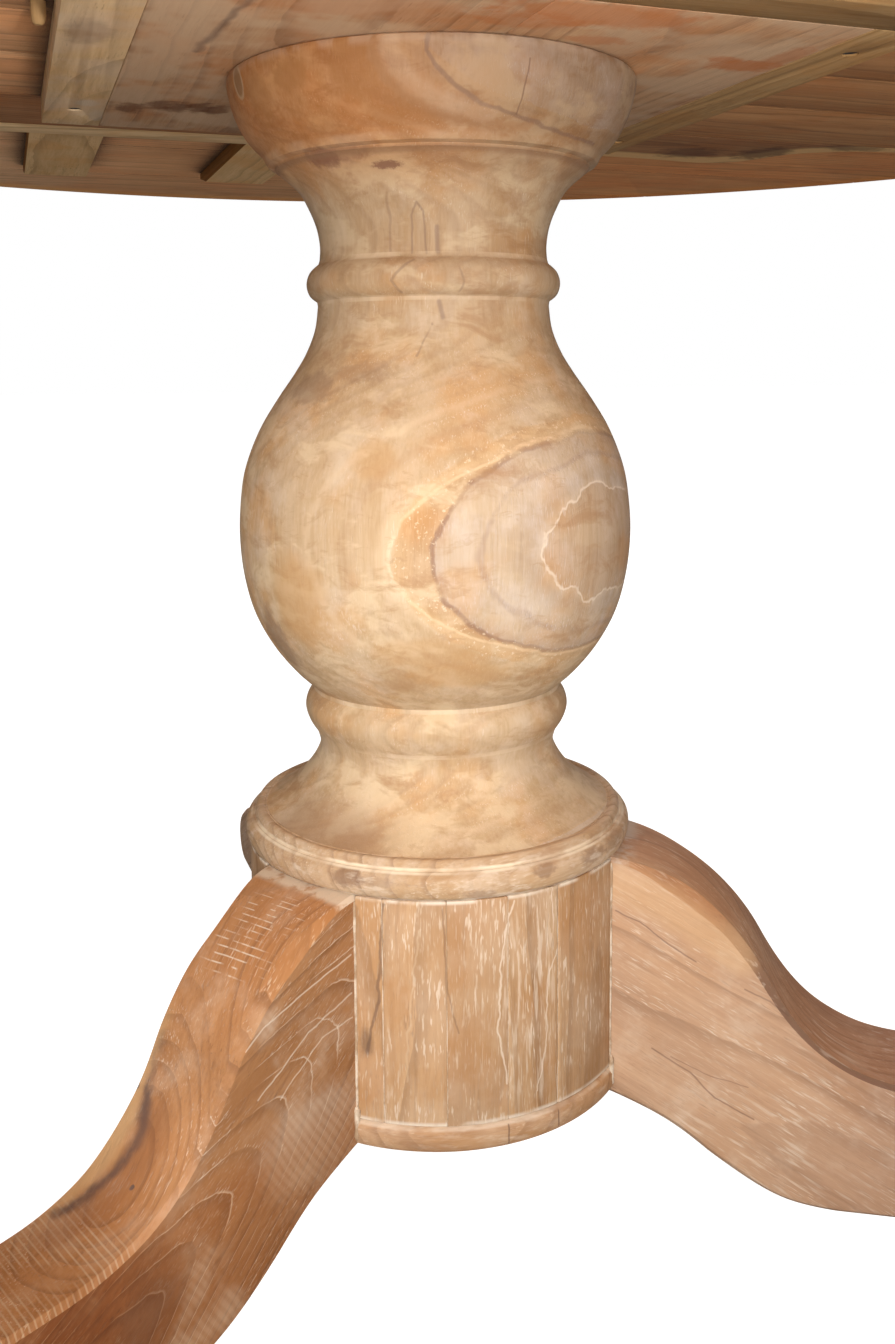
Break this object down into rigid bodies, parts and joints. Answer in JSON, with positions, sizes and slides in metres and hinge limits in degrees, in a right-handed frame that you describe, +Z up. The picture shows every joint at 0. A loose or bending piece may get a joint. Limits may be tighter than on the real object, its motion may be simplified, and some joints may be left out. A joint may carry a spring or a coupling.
{
  "type": "round pedestal table",
  "caption": "Round plank-top dining table on a turned baluster column with a coopered hub and sawn S-shaped legs, in limed reclaimed wood.",
  "frame": {"origin": "on the floor, on the column's axis, which is the centre of the round top", "axes": "+Z up along the column; +Y along the rear leg and the battens; +X along the top's planks"},
  "size_m": [1.8, 1.8, 0.761],
  "materials": {
    "top_wood": "matt, bleached and brushed",
    "panel_wood": "rough sawn",
    "plate_wood": "planed, with a whitish film",
    "pale_wood": "planed",
    "column_wood": "matt, bleached",
    "hub_wood": "matt, limed",
    "leg_wood": "matt, limed",
    "steel": "zinc plated",
    "glide": "nylon"
  },
  "bodies": {
    "root": {"top_plank_1": "top_wood", "top_plank_2": "top_wood", "top_plank_3": "top_wood", "top_plank_4": "top_wood", "top_plank_5": "top_wood", "top_plank_6": "top_wood", "top_plank_7": "top_wood", "top_plank_8": "top_wood", "top_plank_9": "top_wood", "top_plank_10": "top_wood", "batten_left": "pale_wood", "batten_middle": "pale_wood", "batten_right": "pale_wood", "panel_plank_1": "panel_wood", "panel_plank_2": "panel_wood", "panel_plank_3": "panel_wood", "panel_plank_4": "panel_wood", "panel_plank_5": "panel_wood", "panel_plank_6_waney": "panel_wood", "panel_lath": "pale_wood", "mounting_plate_left": "plate_wood", "mounting_plate_right": "plate_wood", "cleat_left": "pale_wood", "cleat_right": "pale_wood", "cleat_near": "pale_wood", "cleat_left_screw_1": "steel", "cleat_left_screw_2": "steel", "cleat_right_screw_1": "steel", "cleat_right_screw_2": "steel", "locating_peg": "pale_wood", "column": "column_wood", "column_bolt": "steel", "plinth_ring": "hub_wood", "hub_core": "hub_wood", "hub_bottom_band": "hub_wood", "stave_front_1": "hub_wood", "stave_front_2": "hub_wood", "stave_front_3": "hub_wood", "stave_front_4": "hub_wood", "stave_front_5": "hub_wood", "stave_left_1": "hub_wood", "stave_left_2": "hub_wood", "stave_left_3": "hub_wood", "stave_left_4": "hub_wood", "stave_right_1": "hub_wood", "stave_right_2": "hub_wood", "stave_right_3": "hub_wood", "stave_right_4": "hub_wood", "leg_rear": "leg_wood", "leg_rear_dowel": "pale_wood", "leg_rear_screw": "steel", "leg_rear_glide": "glide", "leg_left": "leg_wood", "leg_left_dowel": "pale_wood", "leg_left_screw": "steel", "leg_left_glide": "glide", "leg_right": "leg_wood", "leg_right_dowel": "pale_wood", "leg_right_screw": "steel", "leg_right_glide": "glide"}
  },
  "joints": []
}
